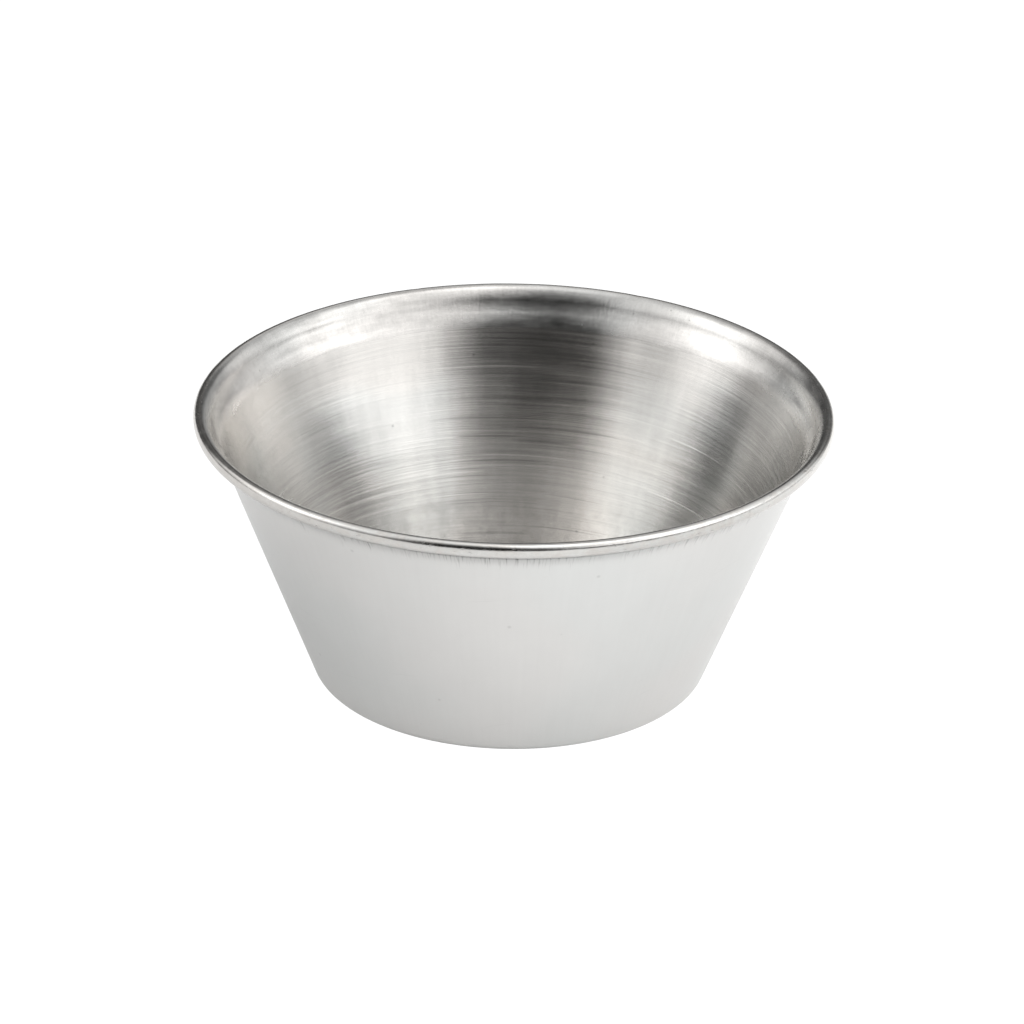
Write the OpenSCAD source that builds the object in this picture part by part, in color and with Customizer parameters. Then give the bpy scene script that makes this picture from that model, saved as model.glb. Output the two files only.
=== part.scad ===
// Stainless steel dip cup: a small straight-sided frustum cup pressed from
// one sheet, with its mouth flared a little and its edge curled outward and
// down into a hollow rolled rim. Nothing on it moves.
//
// The sheet is given here as its formed zones, one solid for each, meeting
// face to face with no overlap: base disc, heel bend, side wall, lip flare
// and rolled rim. Origin at the centre of the underside, +Z up.

/* [Cup] */
// Height from the table to the top of the rim
cup_h = 26.8; // [22:0.2:40]
// Diameter over the rolled rim
rim_d = 60; // [52:0.5:90]
// Lean of the side wall from upright, in degrees
wall_lean = 21.2; // [16:0.1:23]
// Thickness of the steel sheet
sheet = 0.4; // [0.3:0.02:0.44]

/* [Base] */
// Outside radius of the bend between the base and the wall
heel_r = 1.3; // [1:0.1:4]

/* [Lip] */
// Lean of the sheet at the shoulder, where the wall first sweeps outward
shoulder_lean = 34.6; // [31:0.1:36]
// Radius of the shoulder bend, on the side that faces the axis
shoulder_r = 6.4; // [5:0.1:7]
// Lean of the sheet at the groove, where it stands more upright again
groove_lean = 24; // [23:0.5:27]
// Radius of the groove bend, on the side that faces the axis
groove_r = 6.4; // [5:0.1:7]
// Lean where the lip's easy bend runs into its brow
lip_lean = 40; // [37:1:43]
// Radius of the lip's easy bend above the groove
lip_r = 3.6; // [3:0.1:4.5]
// Lean where the brow runs into the rolled rim
brow_lean = 65; // [62:1:68]
// Radius of the brow, the bend just inside the rim's crest
brow_r = 1.2; // [1.1:0.05:1.4]

/* [Rolled rim] */
// Radius over the rim's crest
crest_r = 0.52; // [0.5:0.01:0.56]
// Lean where the crest runs into the outer side
crest_lean = 153; // [148:1:158]
// Radius of the rim's outer side
side_r = 0.87; // [0.82:0.01:0.92]
// Lean where the outer side runs into the tuck
side_lean = 243; // [238:1:246]
// Radius of the tuck, where the cut edge turns in under the lip
tuck_r = 0.5; // [0.48:0.01:0.54]
// Lean at the cut edge
tuck_lean = 314; // [290:1:316]

/* [Hidden] */
$fn = 180;

steel = [0.78, 0.78, 0.77];
steel_soft = [0.72, 0.72, 0.72];
steel_dull = [0.66, 0.66, 0.67];

rim_r = rim_d / 2;

// Unit direction, in the section plane, that faces the axis at a lean.
// A lean of 90 is level over the crest, and 180 is the outer side going down.
function facing(lean) = [-cos(lean), sin(lean)];

// Centres of the bends, each tangent to the next. The crest's is set so that
// the rim is rim_d over all and cup_h high.
crest_c = [
    rim_r - side_r - (crest_r - side_r) * -cos(crest_lean),
    cup_h - crest_r
];
side_c = crest_c + (crest_r - side_r) * facing(crest_lean);
tuck_c = side_c + (side_r - tuck_r) * facing(side_lean);
brow_c = crest_c + (crest_r - brow_r) * facing(brow_lean);
lip_c = brow_c + (brow_r - lip_r) * facing(lip_lean);
groove_c = lip_c + (lip_r + groove_r) * facing(groove_lean);
shoulder_c = groove_c - (groove_r + shoulder_r) * facing(shoulder_lean);

// Where the shoulder runs into the wall, on the inner and the outer face
wall_top_in = shoulder_c + shoulder_r * facing(wall_lean);
wall_top_out = shoulder_c + (shoulder_r - sheet) * facing(wall_lean);

// Centre of the heel's section: heel_r above the table and heel_r inside
// the wall's outer face
heel_cx = wall_top_out[0]
        - (wall_top_out[1] - heel_r) * tan(wall_lean)
        - heel_r / cos(wall_lean);
heel_c = [heel_cx, heel_r];

// Where the heel runs into the wall, on the inner and the outer face
wall_foot_out = heel_c - heel_r * facing(wall_lean);
wall_foot_in = heel_c - (heel_r - sheet) * facing(wall_lean);

// Section of the heel's bend: a ring cut to the sector between two angles
// (counted anticlockwise, under 180)
module ring_sector(c, r_out, r_in, a0, a1) {
    reach = 3 * r_out;
    intersection() {
        translate(c) difference() {
            circle(r = r_out);
            circle(r = r_in);
        }
        translate(c) polygon([
            [0, 0],
            reach * [cos(a0), sin(a0)],
            reach * [cos((2 * a0 + a1) / 3), sin((2 * a0 + a1) / 3)],
            reach * [cos((a0 + 2 * a1) / 3), sin((a0 + 2 * a1) / 3)],
            reach * [cos(a1), sin(a1)]
        ]);
    }
}

// A bend is [centre, radius, lean it starts at, lean it ends at]. The radius
// is to the face towards the axis, and is negative where the sheet bends back
// towards the axis.
lip_bends = [
    [shoulder_c, shoulder_r, wall_lean, shoulder_lean],
    [groove_c, -groove_r, shoulder_lean, groove_lean],
    [lip_c, lip_r, groove_lean, lip_lean],
    [brow_c, brow_r, lip_lean, brow_lean]
];
rim_bends = [
    [crest_c, crest_r, brow_lean, crest_lean],
    [side_c, side_r, crest_lean, side_lean],
    [tuck_c, tuck_r, side_lean, tuck_lean]
];

// How far the drawn chords of a bend may stray from the true curve
chord_error = 0.0008;

// How many chords a bend is drawn with
function chords(bend) =
    ceil(abs(bend[3] - bend[2]) * PI / 360
         / sqrt(2 * chord_error / abs(bend[1])));

// Point at a lean on a bend, at a depth into the sheet from the face towards
// the axis
function bend_point(bend, lean, depth) =
    bend[0] + (bend[1] - depth) * facing(lean);

// One face of the sheet along a chain of bends
function bend_face(bends, depth) = [
    bend_point(bends[0], bends[0][2], depth),
    for (bend = bends)
        for (i = [1:chords(bend)])
            bend_point(bend, bend[2] + (bend[3] - bend[2]) * i / chords(bend),
                       depth)
];

function reversed(points) =
    [for (i = [len(points) - 1:-1:0]) points[i]];

// Section of the sheet along a chain of bends
module bend_section(bends) {
    polygon(concat(bend_face(bends, 0), reversed(bend_face(bends, sheet))));
}

// Flat disc that closes the cup and rests on the table
module base_disc() {
    color(steel_dull)
        cylinder(r = heel_cx, h = sheet);
}

// Bend that turns the flat base up into the wall
module heel_bend() {
    color(steel_soft)
        rotate_extrude()
            ring_sector(heel_c, heel_r, heel_r - sheet, -90, -wall_lean);
}

// Straight leaning wall
module side_wall() {
    color(steel)
        rotate_extrude()
            polygon([wall_foot_in, wall_foot_out, wall_top_out, wall_top_in]);
}

// Mouth below the rim: shoulder, groove, lip and brow
module lip_flare() {
    color(steel_soft)
        rotate_extrude()
            bend_section(lip_bends);
}

// Hollow curl that finishes the edge: crest, outer side and tuck
module rolled_rim() {
    color(steel)
        rotate_extrude()
            bend_section(rim_bends);
}

base_disc();
heel_bend();
side_wall();
lip_flare();
rolled_rim();
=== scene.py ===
import math

import bpy
import numpy as np
from mathutils import Matrix, Vector


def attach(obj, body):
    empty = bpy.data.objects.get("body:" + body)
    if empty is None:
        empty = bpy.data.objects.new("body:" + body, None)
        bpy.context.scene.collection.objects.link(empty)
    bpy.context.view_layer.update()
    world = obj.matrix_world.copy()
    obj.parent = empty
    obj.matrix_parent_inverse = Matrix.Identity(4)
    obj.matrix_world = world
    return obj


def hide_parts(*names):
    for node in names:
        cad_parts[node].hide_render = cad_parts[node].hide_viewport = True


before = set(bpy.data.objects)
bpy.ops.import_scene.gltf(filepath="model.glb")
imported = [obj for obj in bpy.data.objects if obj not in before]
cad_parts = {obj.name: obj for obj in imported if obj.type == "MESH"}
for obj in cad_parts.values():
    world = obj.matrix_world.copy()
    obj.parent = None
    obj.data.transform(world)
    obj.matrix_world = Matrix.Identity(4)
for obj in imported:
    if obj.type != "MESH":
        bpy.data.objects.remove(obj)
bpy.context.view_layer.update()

MM = 0.001

# ---------------------------------------------------------------- the section
# The sheet's section in millimetres. "lean" is the sheet's lean from upright:
# 90 is level over the rim's crest, 180 is its outer side going down. The face
# that looks at the axis is the inner face; past the crest the same face is the
# outside of the roll. A bend is (end lean, radius), and a negative radius
# bends back towards the axis.
CUP_H = 26.8
RIM_R = 30.0
SHEET = 0.4
LEAN = 21.2
HEEL_R = 1.3
LIP = [(34.6, 6.4), (24.0, -6.4), (40.0, 3.6), (65.0, 1.2)]
ROLL = [(153.0, 0.52), (243.0, 0.87), (314.0, 0.5)]


def facing(lean):
    a = np.radians(lean)
    return np.stack([-np.cos(a), np.sin(a)], -1)


def bends(start, lean, chain, step):
    """Rows of (r, z, lean) along a chain of bends that begins at start, with about step mm between rows."""
    rows = [np.array([[*start, lean]])]
    p = np.array(start, float)
    for end, radius in chain:
        n = max(4, int(math.ceil(abs(math.radians(end - lean) * radius) / step)))
        leans = np.linspace(lean, end, n + 1)
        q = p + radius * (facing(leans) - facing(lean))
        rows.append(np.column_stack([q, leans])[1:])
        p, lean = q[-1], end
    return np.concatenate(rows)


def section():
    # Bend the lip and the rim from a loose start, then set them to size.
    lip = bends((0.0, 0.0), LEAN, LIP, 0.075)
    rim = bends(lip[-1, :2], 65.0, ROLL, 0.05)
    shift = np.array([RIM_R - rim[:, 0].max(), CUP_H - rim[:, 1].max(), 0.0])
    lip, rim = lip + shift, rim + shift
    top = lip[0, :2]
    top_out = top - SHEET * facing(LEAN)
    a = math.radians(LEAN)
    heel_cx = top_out[0] - (top_out[1] - HEEL_R) * math.tan(a) - HEEL_R / math.cos(a)
    heel = bends((heel_cx, SHEET), -90.0, [(LEAN - 180.0, -(HEEL_R - SHEET))], 0.06)
    # the base and the heel are followed outward, so that way round a level
    # sheet has a lean of 90
    heel[:, 2] = np.linspace(90.0, LEAN, len(heel))
    k = np.radians(heel[:, 2])
    heel[:, 0] = heel_cx + (HEEL_R - SHEET) * np.cos(k)
    heel[:, 1] = HEEL_R - (HEEL_R - SHEET) * np.sin(k)
    t = np.linspace(0, 1, 61)[:, None]
    wall = np.column_stack([heel[-1, :2] * (1 - t) + top * t, np.full(61, LEAN)])
    r = np.linspace(0.0, heel_cx, 31)
    base = np.column_stack([r, np.full(31, SHEET), np.full(31, 90.0)])
    return {
        "base_disc": base,
        "heel_bend": heel,
        "side_wall": wall,
        "lip_flare": lip,
        "rolled_rim": rim,
    }


SECTION = section()
# each row's distance along the inner face from the cup's centre
REACH, RUN = {}, 0.0
for node, rows in SECTION.items():
    step = np.hypot(*np.diff(rows[:, :2], axis=0).T)
    REACH[node] = RUN + np.concatenate([[0.0], np.cumsum(step)])
    RUN = REACH[node][-1]
WALL_AT, LIP_AT, RIM_AT, RIM_END = (*(REACH[n][0] for n in ("side_wall", "lip_flare", "rolled_rim")), RUN)


# ------------------------------------------------------------------ the meshes
def lattice(seed, around, along):
    return np.random.RandomState(seed).uniform(-1, 1, (along, around))


def soft_noise(phi, s, around, cell, seed):
    """Smooth noise over the sheet: around cells round the axis, and cell mm along the section."""
    grid = lattice(seed, around, 64)
    u = (phi / (2 * math.pi)) % 1.0 * around
    v = (s / cell) % 64
    i, j = np.floor(v).astype(int), np.floor(u).astype(int)
    fv, fu = v - i, u - j

    def cubic(f):
        return [
            (1 - f) ** 3 / 6,
            (3 * f**3 - 6 * f**2 + 4) / 6,
            (-3 * f**3 + 3 * f**2 + 3 * f + 1) / 6,
            f**3 / 6,
        ]

    out = 0.0
    for a, wv in enumerate(cubic(fv)):
        for b, wu in enumerate(cubic(fu)):
            out = out + wv * wu * grid[(i + a - 1) % 64, (j + b - 1) % around]
    return out * 2.2


def ramp(x, lo, hi):
    t = np.clip((x - lo) / (hi - lo), 0, 1)
    return t * t * (3 - 2 * t)


def press(phi, s):
    """How far the whole sheet stands out of true, in mm, along its face."""
    waves = 0.012 * soft_noise(phi, s, 14, 6.5, 4) * ramp(s, WALL_AT, WALL_AT + 4.0)
    return waves * (1 - 0.8 * ramp(s, RIM_AT - 0.5, RIM_AT + 0.5))


def sway(phi, s):
    """How far the sheet stands away from the axis, in mm: the mouth is a little oval and off centre."""
    up = np.clip((s - WALL_AT) / (LIP_AT - WALL_AT), 0, 1)
    foot = 0.08 * np.clip(s / WALL_AT, 0, 1)
    mouth = 0.135 * np.sin(phi) - 0.07 * np.cos(phi) - 0.145 * np.cos(2 * phi)
    return foot * (1 - up) + mouth * up


def relief(phi, s, side):
    """Unevenness of one face, in mm, along its normal."""
    d = press(phi, s)
    lip = ramp(s, LIP_AT - 1.0, LIP_AT + 0.8) * (1 - ramp(s, RIM_AT - 0.3, RIM_AT + 0.3))
    rim = ramp(s, RIM_AT - 0.3, RIM_AT + 0.3)
    d = d + lip * 0.0045 * soft_noise(phi, s, 64, 1.5, 8)
    d = d + rim * 0.0025 * soft_noise(phi, s, 150, 0.9, 12)
    if side == "inner":
        for at, reach, wide, tall, deep in NICKS:
            u = (phi - math.radians(at) + math.pi) % (2 * math.pi) - math.pi
            v = s - RIM_AT - reach
            d = d - deep * np.exp(-((u * RIM_R / wide) ** 2) - (v / tall) ** 2)
    return d


# small dents in the rim: degrees round from the back, mm past the brow, half
# width and half height in mm, depth in mm
NICKS = [
    (187.0, 1.55, 0.45, 0.16, 0.030),
    (181.5, 1.70, 0.30, 0.12, 0.016),
    (203.0, 1.35, 0.55, 0.20, 0.022),
    (214.0, 1.80, 0.40, 0.14, 0.018),
    (168.0, 1.60, 0.35, 0.12, 0.016),
    (157.0, 1.25, 0.50, 0.18, 0.020),
    (128.0, 1.50, 0.60, 0.20, 0.020),
    (24.0, 0.35, 0.55, 0.22, 0.018),
    (341.0, 0.50, 0.45, 0.20, 0.016),
    (301.0, 1.10, 0.60, 0.25, 0.018),
    (252.0, 1.30, 0.50, 0.20, 0.020),
    (76.0, 0.80, 0.60, 0.25, 0.020),
]


def face(node, side, seg):
    """Points and normals of one face of a piece, each (rows, seg, 3)."""
    rows, reach = SECTION[node], REACH[node]
    phi = np.arange(seg) * (2 * math.pi / seg)
    S, P = np.meshgrid(reach, phi, indexing="ij")
    n2, r, z = facing(rows[:, 2]), rows[:, 0], rows[:, 1]
    if side == "outer":
        r, z = r - SHEET * n2[:, 0], z - SHEET * n2[:, 1]
    sin, cos = np.sin(P), np.cos(P)
    R, Z, NR, NZ = (np.repeat(v[:, None], seg, 1) for v in (r, z, n2[:, 0], n2[:, 1]))
    n0 = np.stack([NR * sin, NR * cos, NZ], -1)
    ts = np.stack([NZ * sin, NZ * cos, -NR], -1)
    tp = np.stack([cos, -sin, np.zeros_like(sin)], -1)
    d = relief(P, S, side)
    ds = (relief(P, S + 0.01, side) - relief(P, S - 0.01, side)) / 0.02
    dp = (relief(P + 2e-4, S, side) - relief(P - 2e-4, S, side)) / 4e-4
    e = sway(P, S)
    es = (sway(P, S + 0.01) - sway(P, S - 0.01)) / 0.02
    ep = (sway(P + 2e-4, S) - sway(P - 2e-4, S)) / 4e-4
    fade = np.clip(R / 1.0, 0, 1)
    inv = 1 / np.maximum(R, 0.2)
    d, ds, dp = d * fade, ds * fade + es * NR, (dp * fade + ep * NR) * inv
    out = np.stack([sin, cos, np.zeros_like(sin)], -1)
    pos = R[..., None] * out + Z[..., None] * [0, 0, 1] + d[..., None] * n0 + e[..., None] * out
    nor = n0 - ds[..., None] * ts - dp[..., None] * tp
    nor /= np.linalg.norm(nor, axis=-1, keepdims=True)
    return pos, nor if side == "inner" else -nor


def sheet_piece(name, node, seg, mats):
    """One closed ring or disc of sheet, with its faces' own smooth normals."""
    disc = SECTION[node][0, 0] < 1e-6
    rows = len(SECTION[node])
    verts, quads, tris, qmat, tmat, qn, tn = [], [], [], [], [], [], []
    count, edge = 0, {}
    j = np.arange(seg)
    k = (j + 1) % seg
    for side, mat in (("inner", 0), ("outer", 1)):
        pos, nor = face(node, side, seg)
        first = 1 if disc else 0
        if disc:
            verts.append(pos[0, :1])
            pole, count = count, count + 1
        ids = count + np.arange((rows - first) * seg).reshape(-1, seg)
        count += ids.size
        verts.append(pos[first:].reshape(-1, 3))
        nor_ = nor[first:]
        q = np.stack([ids[:-1][:, j], ids[:-1][:, k], ids[1:][:, k], ids[1:][:, j]], -1)
        n4 = np.stack([nor_[:-1][:, j], nor_[:-1][:, k], nor_[1:][:, k], nor_[1:][:, j]], 2)
        if side == "outer":
            q, n4 = q[..., ::-1], n4[:, :, ::-1]
        quads.append(q.reshape(-1, 4))
        qn.append(n4.reshape(-1, 3))
        zones = np.full(q.shape[0], mat)
        if side == "inner" and len(mats) > 2:
            zones[SECTION[node][1:, 1] < SHOULDER_TOP] = 2
        qmat.append(np.repeat(zones, seg))
        if disc:
            t = np.stack([np.full(seg, pole), ids[0][k], ids[0][j]], -1)
            n3 = np.stack([np.repeat(nor[0, :1], seg, 0), nor_[0][k], nor_[0][j]], 1)
            if side == "outer":
                t, n3 = t[:, ::-1], n3[:, ::-1]
            tris.append(t)
            tn.append(n3.reshape(-1, 3))
            tmat.append(np.full(seg, mat))
        edge[side] = (ids[0], ids[-1])
    allv = np.concatenate(verts)

    def cap(a, b, flip):
        q = np.stack([a[j], b[j], b[k], a[k]], -1)
        if flip:
            q = q[:, ::-1]
        n = np.cross(allv[q[:, 1]] - allv[q[:, 0]], allv[q[:, 3]] - allv[q[:, 0]])
        n /= np.linalg.norm(n, axis=1, keepdims=True)
        quads.append(q)
        qn.append(np.repeat(n, 4, 0))
        qmat.append(np.full(seg, 1))

    cap(edge["inner"][1], edge["outer"][1], False)
    if not disc:
        cap(edge["inner"][0], edge["outer"][0], True)
    quads, qn, qmat = np.concatenate(quads), np.concatenate(qn), np.concatenate(qmat)
    loops = [quads.reshape(-1)]
    sizes, mat, normals = [np.full(len(quads), 4)], [qmat], [qn]
    if disc:
        tris = np.concatenate(tris)
        loops.append(tris.reshape(-1))
        sizes.append(np.full(len(tris), 3))
        mat.append(np.concatenate(tmat))
        normals.append(np.concatenate(tn))
    loops, sizes = np.concatenate(loops), np.concatenate(sizes)
    me = bpy.data.meshes.new(name)
    me.vertices.add(len(allv))
    me.vertices.foreach_set("co", (allv * MM).astype(np.float32).reshape(-1))
    me.loops.add(len(loops))
    me.loops.foreach_set("vertex_index", loops.astype(np.int32))
    me.polygons.add(len(sizes))
    me.polygons.foreach_set("loop_start", (np.cumsum(sizes) - sizes).astype(np.int32))
    for m in mats:
        me.materials.append(m)
    me.polygons.foreach_set("material_index", np.concatenate(mat).astype(np.int32))
    me.polygons.foreach_set("use_smooth", np.ones(len(sizes), bool))
    me.update(calc_edges=True)
    # the sheet's cut edges are sharp: mark the rings where a face meets a cap
    ring = np.full(len(allv), -1)
    for n, (side, end) in enumerate([(a, b) for a in ("inner", "outer") for b in (0, 1)]):
        if not (disc and end == 0):
            ring[edge[side][end]] = n
    ends = np.zeros(len(me.edges) * 2, np.int32)
    me.edges.foreach_get("vertices", ends)
    ends = ring[ends.reshape(-1, 2)]
    me.edges.foreach_set("use_edge_sharp", (ends[:, 0] >= 0) & (ends[:, 0] == ends[:, 1]))
    me.normals_split_custom_set(np.concatenate(normals).astype(np.float32).tolist())
    me.update()
    piece = bpy.data.objects.new(name, me)
    bpy.context.scene.collection.objects.link(piece)
    return piece


# --------------------------------------------------------------- the materials
class Graph:
    """Writes one material's pattern as sums over its surface, in millimetres."""

    def __init__(self, name):
        self.mat = bpy.data.materials.new(name)
        self.mat.use_nodes = True
        self.nt = self.mat.node_tree
        self.bsdf = self.nt.nodes["Principled BSDF"]
        place = self.nt.nodes.new("ShaderNodeTexCoord").outputs["Object"]
        self.place = self.vmath("SCALE", place, scale=1000.0)

    def put(self, sock, v):
        if isinstance(v, bpy.types.NodeSocket):
            self.nt.links.new(v, sock)
        elif v is not None:
            sock.default_value = v

    def math(self, op, a, b=None, c=None, clamp=False):
        n = self.nt.nodes.new("ShaderNodeMath")
        n.operation, n.use_clamp = op, clamp
        for sock, v in zip(n.inputs, (a, b, c)):
            self.put(sock, v)
        return n.outputs[0]

    def vmath(self, op, a, b=None, scale=None):
        n = self.nt.nodes.new("ShaderNodeVectorMath")
        n.operation = op
        self.put(n.inputs[0], a)
        if b is not None:
            self.put(n.inputs[1], b)
        if scale is not None:
            self.put(n.inputs["Scale"], scale)
        return n.outputs["Value" if op in ("LENGTH", "DOT_PRODUCT") else "Vector"]

    def add(self, a, b):
        return self.math("ADD", a, b)

    def sub(self, a, b):
        return self.math("SUBTRACT", a, b)

    def mul(self, a, b):
        return self.math("MULTIPLY", a, b)

    def total(self, first, *terms):
        for t in terms:
            first = self.add(first, t)
        return first

    def ease(self, x, lo, hi):
        """0 at lo and 1 at hi, with a soft step between."""
        n = self.nt.nodes.new("ShaderNodeMapRange")
        n.interpolation_type = "SMOOTHSTEP"
        flip = lo > hi
        self.put(n.inputs["Value"], x)
        n.inputs["From Min"].default_value = min(lo, hi)
        n.inputs["From Max"].default_value = max(lo, hi)
        n.inputs["To Min"].default_value = 1.0 if flip else 0.0
        n.inputs["To Max"].default_value = 0.0 if flip else 1.0
        return n.outputs[0]

    def around(self, lean=0.0, towards=0.0):
        """Direction round the axis, distance from it and height, about an axis leaning by lean degrees."""
        p = self.place
        if lean:
            n = self.nt.nodes.new("ShaderNodeVectorRotate")
            n.rotation_type = "AXIS_ANGLE"
            self.put(n.inputs["Vector"], p)
            a = math.radians(towards)
            n.inputs["Axis"].default_value = (math.cos(a), math.sin(a), 0)
            n.inputs["Angle"].default_value = math.radians(lean)
            p = n.outputs[0]
        s = self.nt.nodes.new("ShaderNodeSeparateXYZ")
        self.put(s.inputs[0], p)
        x, y, z = s.outputs
        r = self.math("SQRT", self.add(self.mul(x, x), self.mul(y, y)))
        r = self.math("MAXIMUM", r, 0.05)
        return self.math("DIVIDE", x, r), self.math("DIVIDE", y, r), r, z

    def noise(self, x, y, z, detail=2.0, rough=0.5, seed=0.0, warp=0.0):
        c = self.nt.nodes.new("ShaderNodeCombineXYZ")
        for sock, v, o in zip(c.inputs, (x, y, z), (seed, 1.7 * seed, 0.6 * seed)):
            self.put(sock, self.add(v, o) if seed else v)
        n = self.nt.nodes.new("ShaderNodeTexNoise")
        n.noise_dimensions = "3D"
        self.put(n.inputs["Vector"], c.outputs[0])
        n.inputs["Scale"].default_value = 1.0
        n.inputs["Detail"].default_value = detail
        n.inputs["Roughness"].default_value = rough
        n.inputs["Distortion"].default_value = warp
        return n.outputs[0]

    def ring(self, a, k, q, K, **kw):
        """Noise drawn out round the axis: k cells to the radian, K cells to the mm along q."""
        return self.noise(self.mul(a[0], k), self.mul(a[1], k), self.mul(q, K), **kw)

    def blotch(self, size, **kw):
        """Even noise with cells of size mm."""
        s = self.nt.nodes.new("ShaderNodeSeparateXYZ")
        self.put(s.inputs[0], self.place)
        return self.noise(*(self.mul(v, 1.0 / size) for v in s.outputs), **kw)

    def specks(self, size, few):
        """Small round pits, one in some cells of size mm; few is how far they reach, 0 to 1."""
        n = self.nt.nodes.new("ShaderNodeTexVoronoi")
        n.feature = "F1"
        self.put(n.inputs["Vector"], self.vmath("SCALE", self.place, scale=1.0 / size))
        n.inputs["Scale"].default_value = 1.0
        n.inputs["Randomness"].default_value = 1.0
        s = self.nt.nodes.new("ShaderNodeSeparateColor")
        self.put(s.inputs[0], n.outputs["Color"])
        some = self.ease(s.outputs[0], 1.0 - few, 1.0 - few * 0.9)
        return self.mul(self.ease(n.outputs["Distance"], 0.16, 0.05), some)

    def mark(self, a, q, at, width, mid, half, soft, slope):
        """One drawn line round the axis: at mm along q, from mid - half to mid + half degrees, with a lean of slope mm a radian."""
        m = math.radians(mid)
        side = self.sub(self.mul(a[0], math.cos(m)), self.mul(a[1], math.sin(m)))
        line = self.sub(q, at)
        if slope:
            line = self.add(line, self.mul(side, slope))
        thin = self.ease(self.math("ABSOLUTE", line), width, width * 0.25)
        return self.mul(thin, self.toward(a, mid, half, soft))

    def toward(self, a, mid, half, soft):
        """1 within half degrees of mid round the axis, less an edge soft degrees wide."""
        m = math.radians(mid)
        along = self.add(self.mul(a[0], math.sin(m)), self.mul(a[1], math.cos(m)))
        return self.ease(along, math.cos(math.radians(half)), math.cos(math.radians(max(half - soft, 0))))

    def painted_patches(self, a, spots):
        """Soft patches of painted light (strength above 0) and painted shade (below 0): height and half height in
        mm, mid, half and fade in degrees, strength.
        """
        out = 0.0
        for at, tall, mid, half, soft, strength in spots:
            level = self.ease(self.math("ABSOLUTE", self.sub(a[3], at)), tall * 1.5, tall * 0.4)
            out = self.add(out, self.mul(self.mul(level, self.toward(a, mid, half, soft)), strength))
        return out

    def colour(self, shade, tint, warm, cool):
        """Base colour: a mix of two near greys by tint, times shade."""
        n = self.nt.nodes.new("ShaderNodeMix")
        n.data_type = "RGBA"
        self.put(n.inputs[0], tint)
        n.inputs[6].default_value = (*warm, 1)
        n.inputs[7].default_value = (*cool, 1)
        out = self.vmath("SCALE", n.outputs[2], scale=shade)
        self.put(self.bsdf.inputs["Base Color"], out)

    def bump(self, height, mm):
        n = self.nt.nodes.new("ShaderNodeBump")
        n.inputs["Strength"].default_value = 1.0
        n.inputs["Distance"].default_value = mm * MM
        self.put(n.inputs["Height"], height)
        self.put(self.bsdf.inputs["Normal"], n.outputs[0])

    def steel(self, rough, aniso=0.0):
        b = self.bsdf
        b.inputs["Metallic"].default_value = 1.0
        self.put(b.inputs["Roughness"], rough)
        b.inputs["Anisotropic"].default_value = aniso
        if aniso:
            # the brush ran round the axis, so highlights are drawn up the wall
            b.inputs["Anisotropic Rotation"].default_value = 0.25
            t = self.nt.nodes.new("ShaderNodeTangent")
            t.direction_type, t.axis = "RADIAL", "Z"
            self.put(b.inputs["Tangent"], t.outputs[0])
        return self.mat


WARM, COOL = (0.634, 0.617, 0.596), (0.618, 0.615, 0.599)
WARM_IN, COOL_IN = (0.639, 0.6155, 0.589), (0.616, 0.6155, 0.602)
WARM_RIM = (0.641, 0.619, 0.592)


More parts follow.
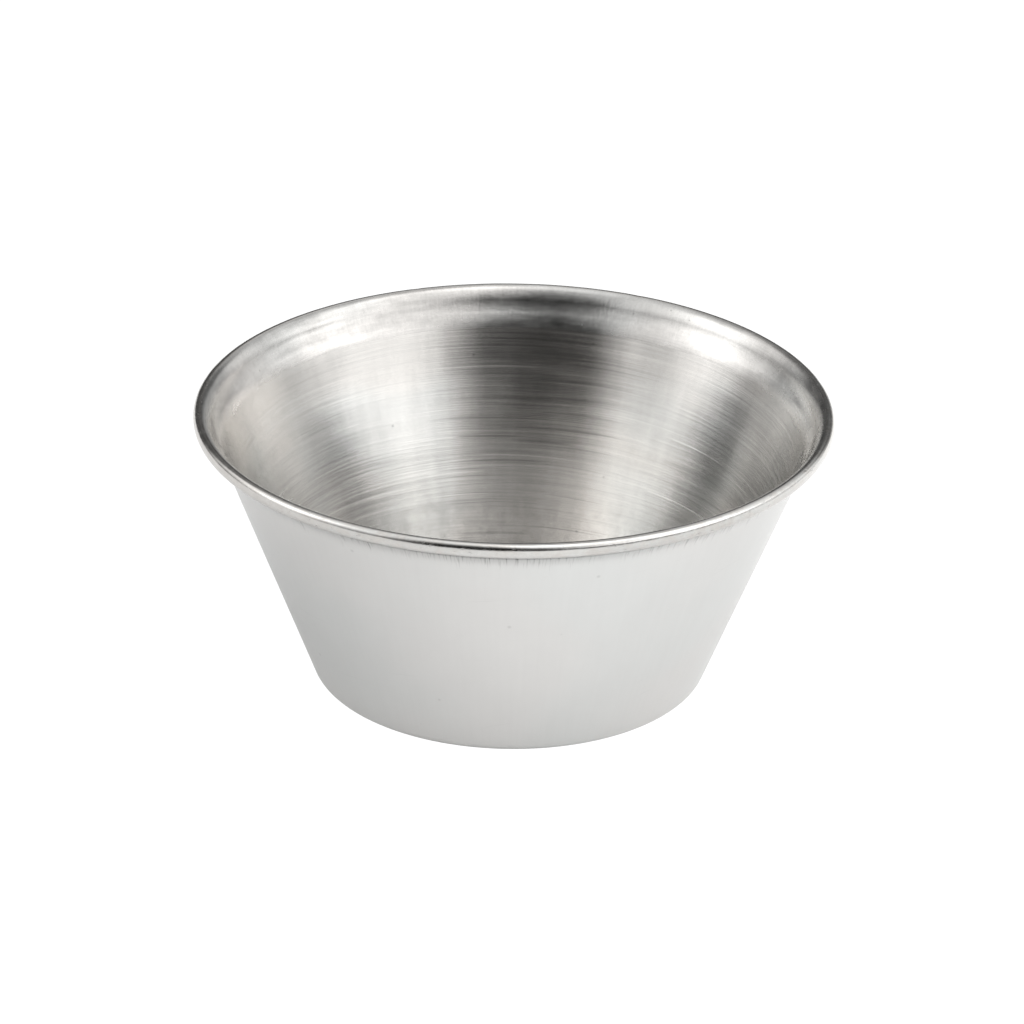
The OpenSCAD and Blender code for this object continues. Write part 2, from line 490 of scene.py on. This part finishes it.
def brushed_inside():
    g = Graph("brushed_inside")
    # the brush ran round a slightly tilted axis and wandered a little
    a = g.around(-1.3, 90)
    z = a[3]
    q = g.add(z, a[2])
    wander = g.sub(g.ring(a, 1.3, q, 0.15, detail=1, seed=3), 0.5)
    qw = g.add(q, g.mul(wander, 0.9))
    fine = g.ring(a, 2.6, qw, 6.5, detail=3, rough=0.62, seed=11)
    drawn = g.ring(a, 1.1, qw, 2.3, detail=3, rough=0.6, seed=23)
    bands = g.ring(a, 0.7, qw, 0.6, detail=1.5, seed=5)
    # later strokes lean across the first
    b = g.around(1.2, 60)
    bq = g.add(b[3], b[2])
    across = g.ring(b, 3.4, bq, 5.0, detail=2, rough=0.6, seed=31)
    c = g.around(-2.2, 125)
    cq = g.add(c[3], c[2])
    hairs = g.ease(g.ring(c, 2.0, cq, 6.5, detail=0, seed=41), 0.70, 0.82)
    upright = g.ring(a, 16.0, q, 0.06, detail=2, rough=0.6, seed=81)
    cloud = g.blotch(5.5, detail=2, seed=7)
    stain = g.blotch(1.1, detail=3, rough=0.6, seed=83)
    grain = g.blotch(0.30, detail=2, rough=0.6, seed=9)
    # strokes fade out towards the lip; below half height they are coarser, and
    # near the bottom the sheet is left mottled
    worked = g.ease(z, 24.8, 22.6)
    low = g.ease(z, 14.5, 12.0)
    bottom = g.ease(z, 9.5, 5.0)
    light, dark = None, None
    for at, mid, half, soft, width, slope, strength in MARKS:
        m = g.mark(a, qw, at, width, mid, half, soft, slope)
        m = g.mul(m, abs(strength))
        if strength > 0:
            light = m if light is None else g.add(light, m)
        else:
            dark = m if dark is None else g.add(dark, m)
    # a drawn line is broken up by the strokes beside it
    thread = g.ease(g.ring(a, 1.5, qw, 9.0, detail=1, seed=91), 0.40, 0.64)
    light = g.mul(light, g.total(0.35, g.mul(thread, 0.65)))
    dark = g.mul(dark, g.ease(drawn, 0.30, 0.55))
    # how hard each part was brushed: high up mostly at the back, and from half
    # height down nearly all round
    patches = g.ease(g.ring(a, 1.4, q, 0.09, detail=1, seed=93), 0.40, 0.62)
    high = g.total(0.12, g.mul(g.toward(a, 6, 30, 18), 0.70), g.mul(g.toward(a, 76, 42, 24), 0.52))
    high = g.total(high, g.mul(patches, 0.10), g.mul(g.toward(a, -56, 18, 12), 0.08))
    deep = g.sub(0.95, g.mul(g.toward(a, 12, 32, 16), 0.35))
    force = g.add(g.mul(high, g.sub(1.0, low)), g.mul(deep, low))
    force = g.mul(force, g.sub(1.0, g.mul(bottom, 0.65)))
    height = g.total(
        g.mul(fine, 0.60),
        g.mul(drawn, 0.42),
        g.mul(across, 0.16),
        g.mul(hairs, 0.10),
    )
    height = g.mul(height, force)
    height = g.mul(g.add(height, g.mul(light, 0.15)), worked)
    height = g.add(height, g.mul(grain, g.add(0.07, g.mul(bottom, 0.07))))
    g.bump(height, 0.012)
    streak = g.total(
        g.mul(g.sub(fine, 0.5), 1.0),
        g.mul(g.sub(drawn, 0.5), 0.9),
        g.mul(g.sub(bands, 0.5), 0.5),
    )
    streak = g.mul(g.mul(streak, worked), g.add(0.08, force))
    # dark threads low at the back
    threads = g.ease(g.ring(a, 1.8, qw, 4.2, detail=1, seed=95), 0.58, 0.74)
    threads = g.mul(g.mul(threads, g.toward(a, 5, 30, 16)), g.ease(z, 17.5, 14.5))
    smooth = g.sub(1.0, g.mul(g.toward(a, -82, 38, 22), 0.5))
    shade = g.total(
        1.0,
        g.mul(streak, 0.50),
        g.mul(light, 0.17),
        g.mul(dark, -0.32),
        g.mul(threads, -0.22),
        # soft patches of painted light and painted shade on the wall
        g.painted_patches(a, WALL_PAINTED_LIGHT_SHADE),
        # painted shade high on the wall near -38 degrees
        g.mul(g.mul(g.toward(a, -38, 26, 16), g.ease(z, 18.0, 21.0)), -0.05),
        g.mul(g.mul(g.sub(upright, 0.5), smooth), 0.24),
        g.mul(g.mul(g.sub(cloud, 0.5), g.add(0.6, bottom)), 0.14),
        g.mul(g.mul(g.sub(stain, 0.5), g.add(0.22, bottom)), 0.36),
        g.mul(g.sub(grain, 0.5), 0.10),
        g.mul(g.specks(1.3, 0.12), -0.25),
    )
    # the back is a shade warmer, as handled steel is
    tint = g.total(0.35, g.mul(g.ease(g.ring(a, 1.6, q, 0.10, detail=1, seed=71), 0.38, 0.62), 0.65))
    tint = g.mul(tint, g.sub(1.0, g.mul(g.toward(a, 5, 24, 12), 0.85)))
    g.colour(shade, tint, WARM_IN, COOL_IN)
    # the wall is a little rougher towards both sides
    sides = g.add(g.mul(g.toward(a, -90, 44, 26), 0.055), g.mul(g.toward(a, 92, 42, 24), 0.045))
    rough = g.total(
        0.185,
        sides,
        g.mul(low, 0.03),
        g.mul(bottom, 0.015),
        g.mul(g.sub(drawn, 0.5), 0.08),
        g.mul(g.sub(cloud, 0.5), 0.06),
        g.mul(g.mul(light, worked), 0.05),
    )
    return g.steel(g.math("MAXIMUM", rough, 0.12), 0.9)


def on_wall(z):
    """Distance along the pattern of a height on the wall's inner face."""
    foot = SECTION["side_wall"][0]
    return z + foot[0] + (z - foot[1]) * math.tan(math.radians(LEAN))


# The longer strokes that stand out inside, bright or dark: height on the wall,
# mid and half length and fade in degrees, half width in mm, slope in mm a
# radian, and strength (below 0 is dark)
MARKS = [
    (on_wall(z), *rest)
    for z, *rest in (
        (22.8, 6, 13, 8, 0.20, 0.0, 0.32),
        (19.55, -6, 13, 8, 0.20, 0.0, 0.54),
        (19.05, 12, 9, 6, 0.17, 0.0, 0.32),
        (18.35, 44, 8, 6, 0.17, 0.5, 0.41),
        (15.35, 48, 11, 5, 0.12, 0.4, 1.50),
        (14.85, 41, 7, 5, 0.14, 0.0, 0.36),
        (15.9, -44, 8, 6, 0.17, 0.0, 0.32),
        (12.4, -36, 16, 8, 0.19, 0.2, 0.50),
        (12.15, 0, 12, 6, 0.17, 0.0, 0.36),
        (11.35, -32, 19, 8, 0.20, 0.2, 0.68),
        (11.35, 3, 13, 5, 0.20, 0.0, 0.68),
        (10.4, -2, 13, 6, 0.17, 0.0, 0.50),
        (10.32, 48, 14, 7, 0.14, 0.3, 1.60),
        (10.22, -38, 22, 8, 0.19, 0.2, 0.72),
        (9.88, -32, 26, 7, 0.19, 0.0, 0.85),
        (9.05, -32, 20, 9, 0.34, 0.0, 0.41),
        (9.2, 46, 9, 6, 0.37, 0.0, 0.36),
        (7.65, -32, 20, 9, 0.22, 0.2, 0.59),
        (12.2, 112, 22, 12, 0.20, 0.3, 0.54),
        (14.4, 158, 26, 14, 0.20, -0.3, 0.54),
        (9.6, 176, 30, 14, 0.24, 0.2, 0.63),
        (17.2, -128, 24, 12, 0.19, 0.3, 0.50),
        (11, -112, 26, 12, 0.22, -0.2, 0.63),
        (13.15, -7, 9, 4, 0.16, 0.0, -0.90),
        (12.75, 6, 9, 5, 0.22, 0.0, -0.65),
        (14.2, 4, 12, 6, 0.14, 0.0, -0.45),
        (15.5, 12, 8, 5, 0.12, 0.0, -0.45),
        (13.45, -48, 9, 5, 0.20, 0.0, -0.60),
        (10.85, -2, 10, 5, 0.20, 0.0, -0.55),
        (9.4, -44, 11, 6, 0.24, 0.0, -0.50),
        (13.3, 46, 8, 5, 0.25, 0.0, -0.45),
        (10.8, 134, 20, 9, 0.22, 0.0, -0.50),
        (13, -160, 20, 9, 0.20, 0.0, -0.55),
    )
]


# Soft patches of painted light and painted shade on the wall and the lip, laid where the render's tones differed
# most from the photograph's, so they stand in for light and shade there and not for rubbed steel: height and half
# height in mm, mid, half and fade in degrees, strength. Soft patches on the wall and the lip, laid by hand where
# the render's tones differed most from the photograph's, so they may be light or shape there and not rubbed
# steel: height and half height in mm, mid, half and fade in degrees, strength
WALL_PAINTED_LIGHT_SHADE = [
    (17.0, 3.2, -47, 13, 9, 0.20),
    (16.9, 1.8, -8, 9, 7, 0.17),
    (20.4, 1.2, -10, 8, 6, -0.13),
    (19.6, 1.4, 20, 9, 7, -0.13),
    (13.1, 0.6, 9, 9, 7, -0.16),
    (14.9, 2.2, 50, 8, 6, 0.15),
    (22.4, 1.0, 55, 8, 6, 0.10),
]
LIP_PAINTED_LIGHT_SHADE = [
    (24.8, 0.6, 76, 11, 8, 0.16),
    (25.4, 0.5, 42, 9, 7, 0.10),
    (25.4, 0.5, 16, 9, 7, 0.14),
    (26.6, 0.5, -76, 11, 8, 0.14),
]


def satin_lip(name, aniso=0.0):
    g = Graph(name)
    a = g.around()
    q = g.add(a[3], a[2])
    cloud = g.blotch(2.6, detail=3, rough=0.6, seed=17)
    pool = g.ease(g.ring(a, 9.0, q, 0.75, detail=3, rough=0.55, seed=21), 0.36, 0.64)
    spread = g.ring(a, 14.0, q, 0.8, detail=3, rough=0.5, seed=19)
    grain = g.blotch(0.20, detail=2, rough=0.6, seed=27)
    pull = g.ring(a, 90.0, q, 0.6, detail=2, rough=0.6, seed=33)
    strokes = g.ring(a, 3.6, q, 5.0, detail=2, rough=0.6, seed=37)
    # the wall's brushing runs out over the shoulder
    worked = g.ease(a[3], 24.6, 23.2)
    rest = g.sub(1.0, worked)
    # and at the right it scored the lip too
    scored = g.math("MAXIMUM", worked, g.mul(g.toward(a, 74, 34, 20), 0.85))
    height = g.total(
        g.mul(grain, g.add(0.07, g.mul(rest, 0.15))),
        g.mul(g.mul(pull, rest), g.add(0.22, g.mul(g.toward(a, 0, 62, 40), 0.38))),
        g.mul(g.mul(strokes, scored), 0.6),
        g.mul(g.mul(spread, rest), 1.7),
    )
    # both ends of the mouth are handled smooth
    ends = g.add(g.toward(a, -84, 28, 14), g.toward(a, 92, 24, 12))
    g.bump(g.mul(height, g.sub(1.0, g.mul(ends, 0.65))), 0.010)
    # the left of the back is smudged and handled duller, and painted shade darkens it all over to damp a highlight
    left = g.toward(a, -36, 36, 26)
    dull = g.mul(g.mul(left, g.sub(1.0, g.mul(worked, 0.5))), g.ease(g.ring(a, 5.0, q, 1.6, detail=3, rough=0.6, seed=39), 0.18, 0.78))
    shade = g.total(
        0.79,
        g.mul(worked, 0.17),
        # painted shade over the highlight at the left of the back
        g.mul(left, -0.07),
        g.mul(dull, -0.11),
        # soft patches of painted light and painted shade on the lip
        g.painted_patches(a, LIP_PAINTED_LIGHT_SHADE),
        g.mul(g.sub(cloud, 0.5), 0.30),
        g.mul(g.sub(pool, 0.5), 0.10),
        g.mul(g.sub(pull, 0.5), 0.12),
        g.mul(g.sub(grain, 0.5), 0.12),
        g.mul(g.mul(g.sub(strokes, 0.5), scored), 0.24),
        g.mul(g.mul(g.specks(0.9, 0.08), rest), -0.20),
    )
    tint = g.ease(g.ring(a, 1.6, q, 0.10, detail=1, seed=71), 0.38, 0.62)
    g.colour(shade, tint, WARM, COOL)
    rough = g.total(
        0.235,
        g.mul(worked, 0.02),
        g.mul(g.sub(cloud, 0.5), 0.09),
        g.mul(g.sub(pool, 0.5), 0.04),
        g.mul(dull, 0.03),
        g.mul(g.sub(scored, worked), 0.04),
    )
    return g.steel(g.math("MAXIMUM", rough, 0.12), aniso)


def rolled_rim():
    g = Graph("rolled_rim_satin")
    a = g.around()
    turn = g.math("ARCTAN2", g.sub(a[3], CUP_H - 0.75), g.sub(a[2], RIM_R - 0.75))
    lines = g.ring(a, 7.0, turn, 9.0, detail=2, rough=0.6, seed=13)
    worn = g.ring(a, 22.0, turn, 1.1, detail=2, rough=0.55, seed=15)
    grain = g.blotch(0.16, detail=2, seed=29)
    scuff = g.ease(g.ring(a, 40.0, turn, 2.2, detail=1, seed=43), 0.66, 0.76)
    # rubbed by stacking: short flats and dull patches along the roll
    rub = g.ring(a, 60.0, turn, 1.6, detail=3, rough=0.65, seed=97)
    height = g.total(
        g.mul(lines, 0.5), g.mul(grain, 0.4), g.mul(worn, 0.7), g.mul(rub, 0.9), g.mul(scuff, -0.6)
    )
    g.bump(height, 0.007)
    shade = g.total(
        0.90,
        # painted light on the roll near 104 degrees and painted shade over its highlight near 150 degrees
        g.mul(g.toward(a, 104, 20, 14), 0.08),
        g.mul(g.toward(a, 150, 22, 14), -0.09),
        g.mul(g.sub(worn, 0.5), 0.20),
        g.mul(g.sub(rub, 0.5), 0.22),
        g.mul(g.sub(lines, 0.5), 0.14),
        g.mul(g.sub(grain, 0.5), 0.10),
        g.mul(scuff, -0.12),
    )
    tint = g.mul(g.ease(worn, 0.3, 0.7), g.sub(1.0, g.mul(g.toward(a, -90, 60, 30), 0.8)))
    g.colour(shade, tint, WARM_RIM, COOL)
    rough = g.total(0.205, g.mul(g.sub(worn, 0.5), 0.12), g.mul(g.sub(rub, 0.5), 0.10), g.mul(scuff, 0.10))
    return g.steel(g.math("MAXIMUM", rough, 0.08))


def satin_outside():
    g = Graph("satin_outside")
    a = g.around()
    z = a[3]
    # short pull marks where the sheet was drawn out under the rim
    pull = g.ring(a, 230.0, z, 0.45, detail=1, rough=0.6, seed=45)
    reach = g.ring(a, 70.0, z, 0.0, detail=2, rough=0.7, seed=47)
    patch = g.ease(g.ring(a, 3.2, z, 0.0, detail=2, seed=49), 0.32, 0.52)
    depth = g.add(z, g.mul(g.sub(reach, 0.5), 4.0))
    near = g.mul(g.ease(depth, 23.2, 24.7), g.add(0.2, g.mul(patch, 0.8)))
    nicks = g.mul(g.ease(pull, 0.52, 0.66), near)
    # painted shade darkens the wall towards the crease that the curl's edge closes, and a thin painted shadow line
    # lies just under the curl
    painted_under_rim_shade = g.mul(g.ease(z, 23.5, 24.9), g.ease(z, 25.9, 25.2))
    painted_seam_shadow = g.ease(z, 24.45, 24.75)
    # the rest is even satin with the faintest upright grain and scuffs
    upright = g.ring(a, 46.0, z, 0.10, detail=3, rough=0.6, seed=51)
    cloud = g.blotch(4.5, detail=3, rough=0.55, seed=53)
    grain = g.blotch(0.22, detail=2, rough=0.6, seed=55)
    b = g.around(24.0, 75)
    scuff = g.ease(g.ring(b, 2.6, g.add(b[3], b[2]), 3.4, detail=1, seed=59), 0.72, 0.80)
    height = g.total(g.mul(grain, 0.35), g.mul(upright, 0.25), g.mul(nicks, -1.2), g.mul(scuff, -0.15))
    g.bump(height, 0.006)
    shade = g.total(
        1.0,
        g.mul(g.sub(cloud, 0.5), 0.055),
        g.mul(g.sub(upright, 0.5), 0.035),
        g.mul(nicks, -0.32),
        # painted shade under the rim and a painted shadow line at the seam
        g.mul(painted_under_rim_shade, -0.22),
        g.mul(painted_seam_shadow, -0.32),
        g.mul(scuff, -0.03),
        g.mul(g.specks(1.6, 0.05), -0.14),
    )
    tint = g.ease(g.ring(a, 1.3, z, 0.06, detail=1, seed=73), 0.36, 0.64)
    g.colour(shade, tint, WARM_OUT, COOL_OUT)
    rough = g.total(0.33, g.mul(g.sub(cloud, 0.5), 0.06), g.mul(nicks, 0.08), g.mul(scuff, 0.05))
    return g.steel(rough)


WARM_OUT, COOL_OUT = (0.628, 0.622, 0.610), (0.616, 0.620, 0.610)


def scuffed_underside():
    g = Graph("scuffed_underside")
    a = g.around()
    rings = g.ring(a, 2.0, a[2], 2.6, detail=3, rough=0.65, seed=61)
    b = g.around(0.0)
    s = g.nt.nodes.new("ShaderNodeSeparateXYZ")
    g.put(s.inputs[0], g.place)
    x, y, _ = s.outputs
    drag = g.ease(g.noise(g.mul(x, 0.5), g.mul(y, 5.0), 0.0, detail=2, seed=63), 0.60, 0.72)
    drag2 = g.noise(g.add(g.mul(x, 3.4), g.mul(y, 2.0)), g.sub(g.mul(y, 0.5), g.mul(x, 0.3)), 0.0, detail=2, seed=65)
    drag2 = g.ease(drag2, 0.62, 0.74)
    cloud = g.blotch(3.5, detail=3, seed=67)
    # the outer edge of the flat carries the cup, so it is rubbed brighter
    worn = g.mul(g.ease(a[2], 13.5, 16.8), g.ease(a[3], 0.5, 0.1))
    height = g.total(g.mul(rings, 0.5), g.mul(drag, -0.5), g.mul(drag2, -0.4))
    g.bump(height, 0.008)
    shade = g.total(
        0.94,
        g.mul(g.sub(rings, 0.5), 0.12),
        g.mul(g.sub(cloud, 0.5), 0.10),
        g.mul(g.add(drag, drag2), 0.05),
        g.mul(worn, 0.06),
    )
    g.colour(shade, cloud, WARM_OUT, COOL_OUT)
    rough = g.total(0.34, g.mul(g.sub(cloud, 0.5), 0.12), g.mul(worn, -0.07))
    return g.steel(rough)


M_IN = brushed_inside()
M_LIP = satin_lip("satin_lip")
# the shoulder, between the brushed wall and the lip, is half way between them
M_SHOULDER = satin_lip("satin_shoulder", 0.55)
SHOULDER_TOP = 24.15
M_RIM = rolled_rim()
M_OUT = satin_outside()
M_UNDER = scuffed_underside()

SEG = 720
PIECES = {
    "base_disc": ((M_IN, M_UNDER), "satin_base"),
    "heel_bend": ((M_IN, M_OUT), "satin_base"),
    "side_wall": ((M_IN, M_OUT), "brushed_wall"),
    "lip_flare": ((M_LIP, M_OUT, M_SHOULDER), "lip_steel"),
    "rolled_rim": ((M_RIM, M_OUT), "rim_steel"),
}
for node, (mats, slot) in PIECES.items():
    piece = sheet_piece("cup_" + node, node, SEG, mats)
    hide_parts(node)
    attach(piece, "root")

# ------------------------------------------------------------------ the camera
# The photograph's view: 25.75 degrees above the table from 0.6 m, with the
# camera rolled a little.
ELEV, DIST, TILT = math.radians(25.747), 0.600, math.radians(0.853)
PX_PER_MM = 10.537
cam_data = bpy.data.cameras.new("camera")
cam = bpy.data.objects.new("camera", cam_data)
bpy.context.scene.collection.objects.link(cam)
bpy.context.scene.camera = cam
focal_px = PX_PER_MM * DIST / MM
cam_data.sensor_width = 36.0
cam_data.lens = focal_px * 36.0 / 1024.0
cam_data.clip_start, cam_data.clip_end = 0.01, 20.0
back = Vector((0, -math.cos(ELEV), math.sin(ELEV)))
target = Vector((0, 0, CUP_H / 2 * MM))
right, up = Vector((1, 0, 0)), Vector((0, math.sin(ELEV), math.cos(ELEV)))
# the picture of the target is at (510.9, 536.1) of 1024: aim past it
cam.location = target + back * DIST
OFF_X, OFF_Y = -1.12, 24.10
c, s = math.cos(TILT), math.sin(TILT)
r2 = right * c + up * s
u2 = up * c - right * s
aim = target - r2 * (OFF_X / focal_px * DIST) + u2 * (OFF_Y / focal_px * DIST)
bk = (cam.location - aim).normalized()
u3 = (u2 - bk * u2.dot(bk)).normalized()
r3 = u3.cross(bk)
cam.rotation_mode = "QUATERNION"
cam.rotation_quaternion = Matrix(
    ((r3.x, u3.x, bk.x), (r3.y, u3.y, bk.y), (r3.z, u3.z, bk.z))
).to_quaternion()

# ------------------------------------------------------------- floor and light
floor_mesh = bpy.data.meshes.new("floor")
S = 6.0
floor_mesh.from_pydata([(-S, -S, 0), (S, -S, 0), (S, S, 0), (-S, S, 0)], [], [(0, 1, 2, 3)])
floor = bpy.data.objects.new("floor", floor_mesh)
bpy.context.scene.collection.objects.link(floor)
fm = bpy.data.materials.new("floor_pale")
fm.use_nodes = True
fb = fm.node_tree.nodes["Principled BSDF"]
fb.inputs["Base Color"].default_value = (0.85, 0.85, 0.85, 1)
fb.inputs["Roughness"].default_value = 1.0
fb.inputs["Specular IOR Level"].default_value = 0.0
fb.inputs["Emission Color"].default_value = (1, 1, 1, 1)
# painted light: the floor's own glow falls off a little across it, from right to left
across = fm.node_tree.nodes.new("ShaderNodeSeparateXYZ")
painted_floor_light = fm.node_tree.nodes.new("ShaderNodeMapRange")
painted_floor_light.interpolation_type = "SMOOTHSTEP"
painted_floor_light.inputs["From Min"].default_value = -0.05
painted_floor_light.inputs["From Max"].default_value = 0.05
painted_floor_light.inputs["To Min"].default_value = 0.06
painted_floor_light.inputs["To Max"].default_value = 0.32
place = fm.node_tree.nodes.new("ShaderNodeTexCoord")
fm.node_tree.links.new(place.outputs["Object"], across.inputs[0])
fm.node_tree.links.new(across.outputs[0], painted_floor_light.inputs["Value"])
fm.node_tree.links.new(painted_floor_light.outputs[0], fb.inputs["Emission Strength"])
# the ground is burnt out to plain white in the picture, as in the photograph,
# while the steel mirrors a floor with the soft shading of the studio's lights
burnt = fm.node_tree.nodes.new("ShaderNodeEmission")
burnt.inputs["Strength"].default_value = 1.1
either = fm.node_tree.nodes.new("ShaderNodeMixShader")
ray = fm.node_tree.nodes.new("ShaderNodeLightPath")
fm.node_tree.links.new(ray.outputs["Is Camera Ray"], either.inputs[0])
fm.node_tree.links.new(fb.outputs[0], either.inputs[1])
fm.node_tree.links.new(burnt.outputs[0], either.inputs[2])
fm.node_tree.links.new(either.outputs[0], fm.node_tree.nodes["Material Output"].inputs["Surface"])
floor_mesh.materials.append(fm)

# The studio's soft lights, as panels far away: power, azimuth (0 is the
# camera's side, positive to its right), half width, edge softness, elevation,
# half height, edge softness. Angles are in degrees; no azimuth means all round.
PANELS = {
    "right_strip": (1.00, 65, 35, 18.5, 18.5, 6, 5),
    "left_box": (2.14, -87.5, 14, 16.5, 25.5, 16, 27.5),
    "ceiling": (1.67, None, 0, 0, 94, 34, 40),
    "right_bank": (1.27, 46, 45.5, 10.5, 54.5, 38.5, 5),
    "far_right_fill": (1.25, 113.5, 55, 40, 29.5, 29, 13.5),
    "left_scrim": (1.66, -87, 47, 10.5, 31, 13.5, 30.5),
}
# Black cards that hold light back, in the same terms: how much they stop, and
# where they stand
FLAGS = {
    "camera_side": (1.00, 0, 22, 14, 13.5, 27.5, 25.5),
    "behind": (0.98, 180, 45, 12, 12, 19, 6),
    "behind_high": (0.35, 155, 35, 20, 52, 26, 14),
}
# the dim wall that closes the studio behind the cup
BACKDROP = (0.085, 180, 50, 20, 8, 24, 8)
# and a pale card standing low on the floor at its right
LOW_CARD = (0.42, 157, 16, 12, 2, 8, 6)
AMBIENT = 0.001

world = bpy.data.worlds.new("studio")
bpy.context.scene.world = world
world.use_nodes = True
wt = world.node_tree
background = wt.nodes["Background"]


def wmath(op, *args):
    n = wt.nodes.new("ShaderNodeMath")
    n.operation = op
    for sock, v in zip(n.inputs, args):
        if isinstance(v, bpy.types.NodeSocket):
            wt.links.new(v, sock)
        else:
            sock.default_value = v
    return n.outputs[0]


def window(x, half, soft):
    """1 within half, 0 beyond it, with an edge of soft each way."""
    n = wt.nodes.new("ShaderNodeMapRange")
    n.interpolation_type = "SMOOTHSTEP"
    wt.links.new(x, n.inputs["Value"])
    n.inputs["From Min"].default_value = half - soft
    n.inputs["From Max"].default_value = half + soft
    n.inputs["To Min"].default_value = 1.0
    n.inputs["To Max"].default_value = 0.0
    return n.outputs[0]


sky = wt.nodes.new("ShaderNodeTexCoord").outputs["Generated"]
parts = wt.nodes.new("ShaderNodeSeparateXYZ")
wt.links.new(sky, parts.inputs[0])
sx, sy, sz = parts.outputs
elevation = wmath("DEGREES", wmath("ARCSINE", sz))
azimuth = wmath("DEGREES", wmath("ARCTAN2", sx, wmath("MULTIPLY", sy, -1.0)))


def spot(az, half, soft, el, tall, tsoft):
    """1 inside a soft-edged panel of the sky, 0 outside it."""
    glow = window(wmath("ABSOLUTE", wmath("SUBTRACT", elevation, float(el))), tall, tsoft)
    if az is not None:
        off = wmath("WRAP", wmath("SUBTRACT", azimuth, float(az)), 180.0, -180.0)
        glow = wmath("MULTIPLY", glow, window(wmath("ABSOLUTE", off), half, soft))
    return glow


light = AMBIENT
for power, *where in PANELS.values():
    light = wmath("ADD", light, wmath("MULTIPLY", spot(*where), power))
for stopped, *where in FLAGS.values():
    passed = wmath("SUBTRACT", 1.0, wmath("MULTIPLY", spot(*where), stopped))
    light = wmath("MULTIPLY", light, passed)
for power, *where in (BACKDROP, LOW_CARD):
    light = wmath("ADD", light, wmath("MULTIPLY", spot(*where), power))
# where a view looks past the floor's edge it sees the same pale ground
seen = wt.nodes.new("ShaderNodeLightPath").outputs["Is Camera Ray"]
light = wmath("ADD", wmath("MULTIPLY", light, wmath("SUBTRACT", 1.0, seen)), wmath("MULTIPLY", seen, 1.1))
wt.links.new(light, background.inputs[1])
background.inputs[0].default_value = (1, 1, 1, 1)

bpy.context.scene.view_settings.view_transform = "Standard"
